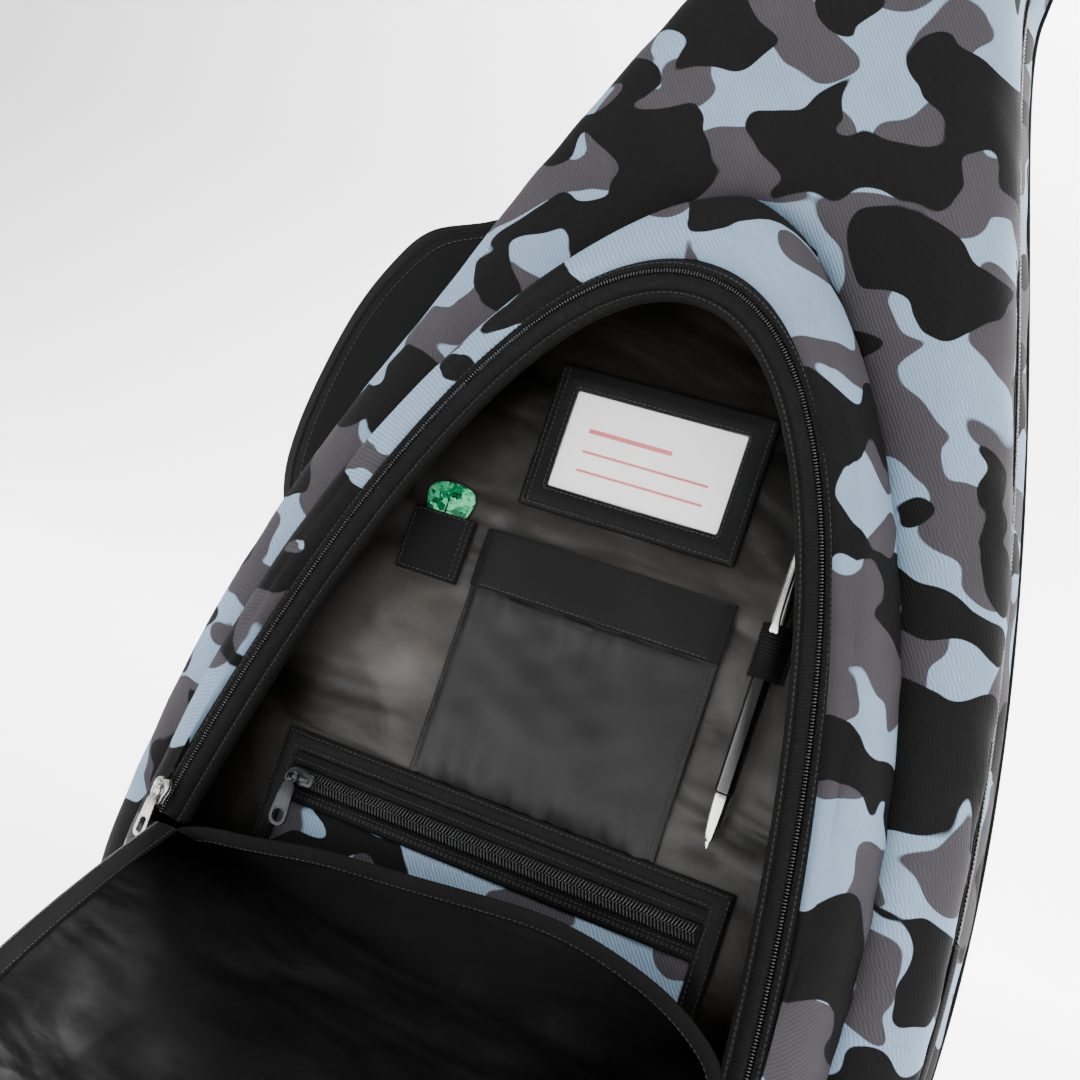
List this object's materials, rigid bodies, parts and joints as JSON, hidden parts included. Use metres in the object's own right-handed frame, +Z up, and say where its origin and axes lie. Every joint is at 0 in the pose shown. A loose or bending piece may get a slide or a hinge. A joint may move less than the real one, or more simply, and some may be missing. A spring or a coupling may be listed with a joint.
{
  "type": "padded gig bag",
  "caption": "Padded guitar gig bag with a camouflage front, an open front organizer pocket and padded shoulder straps.",
  "frame": {"origin": "on the floor, at the middle of the bottom face of the bumper that the bag stands on", "axes": "+Z up along the bag towards the headstock end, -Y out of the front pocket, +X to the right seen from the front"},
  "size_m": [0.4644, 0.4902, 1.05],
  "materials": {
    "camo_fabric": "printed woven polyester in three greys",
    "black_fabric": "matte",
    "black_webbing": "ribbed webbing",
    "satin_lining": "satin",
    "plush_lining": "brushed plush over foam",
    "air_mesh": "spacer mesh",
    "black_rubber": "matte",
    "zip_coil": "satin",
    "nickel": "polished",
    "gunmetal": "satin",
    "clear_vinyl": "gloss",
    "white_card": "matte",
    "green_celluloid": "gloss",
    "pen_black": "gloss",
    "pen_chrome": "polished",
    "black_plastic": "satin"
  },
  "bodies": {
    "back": {"back_shell": "black_fabric", "back_foam": "plush_lining", "main_zip_tape_back": "black_webbing", "lid_hinge_gusset": "black_fabric", "bottom_bumper": "black_rubber", "back_pad": "air_mesh", "neck_cradle": "plush_lining", "neck_strap": "black_webbing", "end_pad": "plush_lining", "strap_yoke": "black_webbing", "shoulder_strap_left": "black_fabric", "shoulder_strap_right": "black_fabric", "strap_webbing_left": "black_webbing", "strap_webbing_right": "black_webbing", "strap_tab_left": "black_webbing", "strap_tab_right": "black_webbing", "hang_loop": "black_webbing"},
    "adjuster_left": {"strap_adjuster_left": "black_plastic"},
    "adjuster_right": {"strap_adjuster_right": "black_plastic"},
    "main_slider_top": {"main_slider_upper": "nickel"},
    "main_slider_bottom": {"main_slider_lower": "nickel"},
    "main_pull_top": {"main_pull_upper": "nickel"},
    "main_pull_bottom": {"main_pull_lower": "nickel"},
    "lid": {"front_shell": "camo_fabric", "front_foam": "plush_lining", "main_zip_tape_front": "black_webbing", "pocket_wall": "camo_fabric", "pocket_rim_tape": "black_webbing", "pocket_rim_teeth": "zip_coil", "door_hinge_binding": "black_webbing", "organizer_panel": "satin_lining", "id_holder_frame": "black_webbing", "id_window": "clear_vinyl", "phone_pocket": "black_fabric", "phone_pocket_hem": "black_fabric", "pick_pocket": "black_webbing", "pen_loop": "black_webbing", "zip_pocket_binding": "black_webbing", "zip_pocket_tape_upper": "black_webbing", "zip_pocket_tape_lower": "black_webbing", "zip_pocket_panel": "camo_fabric", "zip_pocket_coil": "zip_coil"},
    "card": {"id_card": "white_card"},
    "guitar_pick": {"pick": "green_celluloid"},
    "pen": {"pen_barrel": "pen_black", "pen_tip": "pen_chrome", "pen_cap": "pen_chrome", "pen_clip": "pen_chrome"},
    "zip_slider": {"zip_pocket_slider": "gunmetal"},
    "zip_pull": {"zip_pocket_pull": "gunmetal"},
    "door": {"door_panel": "camo_fabric", "door_lining": "satin_lining", "door_binding": "black_webbing", "door_teeth": "zip_coil"},
    "rim_slider": {"pocket_slider": "nickel"},
    "rim_pull": {"pocket_slider_pull": "nickel"}
  },
  "joints": [
    {"name": "lid_hinge", "type": "hinge", "parent": "back", "child": "lid", "pos_m": [0.213, 0, 0.5], "axis": [0, 0, 1], "range_deg": [0, 170]},
    {"name": "door_hinge", "type": "hinge", "parent": "lid", "child": "door", "pos_m": [0, -0.083, 0.164], "axis": [1, 0, 0], "range_deg": [-113, 6]},
    {"name": "rim_slider_slide", "type": "slide", "parent": "lid", "child": "rim_slider", "axis": [0.1564, 0, 0.9877], "range_m": [0, 0.09]},
    {"name": "rim_pull_hinge", "type": "hinge", "parent": "rim_slider", "child": "rim_pull", "pos_m": [-0.1565, -0.0891, 0.177], "axis": [-1, 0, 0], "range_deg": [0, 135]},
    {"name": "zip_slider_slide", "type": "slide", "parent": "lid", "child": "zip_slider", "axis": [0.9976, 0, 0.0698], "range_m": [0, 0.195]},
    {"name": "zip_pull_hinge", "type": "hinge", "parent": "zip_slider", "child": "zip_pull", "pos_m": [-0.10678, -0.0615, 0.20683], "axis": [-0.9976, 0, -0.0698], "range_deg": [0, 135]},
    {"name": "pen_slide", "type": "slide", "parent": "lid", "child": "pen", "axis": [-0.0698, 0, 0.9976], "range_m": [0, 0.03]},
    {"name": "pick_slide", "type": "slide", "parent": "lid", "child": "guitar_pick", "axis": [-0.0698, 0, 0.9976], "range_m": [0, 0.025]},
    {"name": "card_slide", "type": "slide", "parent": "lid", "child": "card", "axis": [-0.0698, 0, 0.9976], "range_m": [0, 0.045]},
    {"name": "main_slider_top_slide", "type": "slide", "parent": "back", "child": "main_slider_top", "axis": [0, 0, 1], "range_m": [0, 0.1]},
    {"name": "main_slider_bottom_slide", "type": "slide", "parent": "back", "child": "main_slider_bottom", "axis": [0, 0, -1], "range_m": [0, 0.05]},
    {"name": "main_pull_top_hinge", "type": "hinge", "parent": "main_slider_top", "child": "main_pull_top", "pos_m": [-0.0765, 0, 0.858], "axis": [0, 1, 0], "range_deg": [0, 135]},
    {"name": "main_pull_bottom_hinge", "type": "hinge", "parent": "main_slider_bottom", "child": "main_pull_bottom", "pos_m": [-0.0765, 0, 0.813], "axis": [0, 1, 0], "range_deg": [0, 135]},
    {"name": "adjuster_left_slide", "type": "slide", "parent": "back", "child": "adjuster_left", "axis": [0.4175, -0.0606, -0.9067], "range_m": [0, 0.1]},
    {"name": "adjuster_right_slide", "type": "slide", "parent": "back", "child": "adjuster_right", "axis": [0.1822, -0.2029, -0.9621], "range_m": [0, 0.1]}
  ]
}
